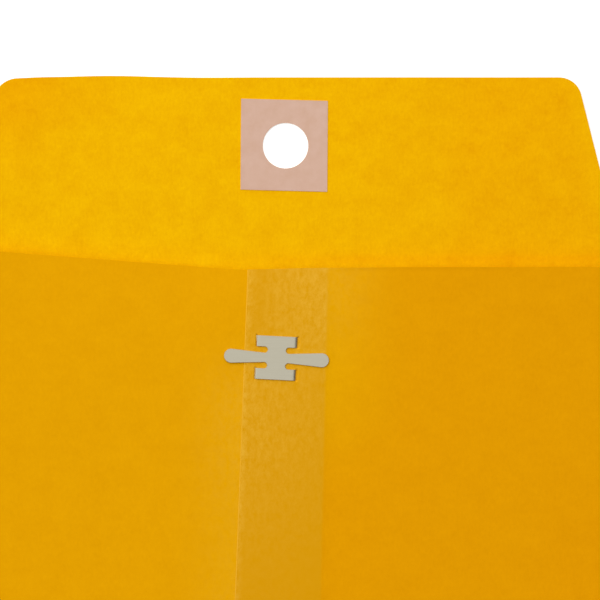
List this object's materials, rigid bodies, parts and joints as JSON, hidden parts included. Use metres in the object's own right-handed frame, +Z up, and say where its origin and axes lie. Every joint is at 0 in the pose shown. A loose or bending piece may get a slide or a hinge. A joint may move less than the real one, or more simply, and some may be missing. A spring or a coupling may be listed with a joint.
{
  "type": "clasp envelope",
  "caption": "Open-end kraft paper envelope with a glued centre seam, a fold-over flap with a patched hole, and a metal clasp with bendable prongs.",
  "frame": {"origin": "centre of the front face, between the bottom fold and the flap fold, on the surface the envelope lies on", "axes": "+Z up, out of the back; +Y along the envelope towards the closing flap; +X to the right seen from above"},
  "size_m": [0.2286, 0.363, 0.0056],
  "materials": {
    "kraft_outside": "matte",
    "kraft_inside": "matte",
    "patch_paper": "matte",
    "paste": "matte",
    "tinned_steel": "satin"
  },
  "bodies": {
    "pocket": {"front_panel": "kraft_outside", "left_back_panel": "kraft_outside", "right_back_panel": "kraft_outside", "left_side_fold": "kraft_outside", "right_side_fold": "kraft_outside", "bottom_fold": "kraft_outside", "bottom_flap": "kraft_outside", "seam_glue": "paste", "bottom_flap_glue": "paste", "flap_fold": "kraft_inside", "clasp_plate": "tinned_steel"},
    "flap": {"closing_flap": "kraft_inside", "patch_glue": "paste", "hole_patch": "patch_paper"},
    "left_clasp_prong": {"left_prong": "tinned_steel"},
    "right_clasp_prong": {"right_prong": "tinned_steel"}
  },
  "joints": [
    {"name": "flap_hinge", "type": "hinge", "parent": "pocket", "child": "flap", "pos_m": [0, 0.1524, 0.0031], "axis": [1, 0, 0], "range_deg": [0, 180], "deforming": ["flap_fold"]},
    {"name": "left_prong_bend", "type": "hinge", "parent": "pocket", "child": "left_clasp_prong", "pos_m": [-0.00652, 0.11718, 0.00542], "axis": [0.0506, 0.9987, 0], "range_deg": [0, 90]},
    {"name": "right_prong_bend", "type": "hinge", "parent": "pocket", "child": "right_clasp_prong", "pos_m": [0.00052, 0.11682, 0.00542], "axis": [-0.0506, -0.9987, 0], "range_deg": [0, 90]}
  ]
}
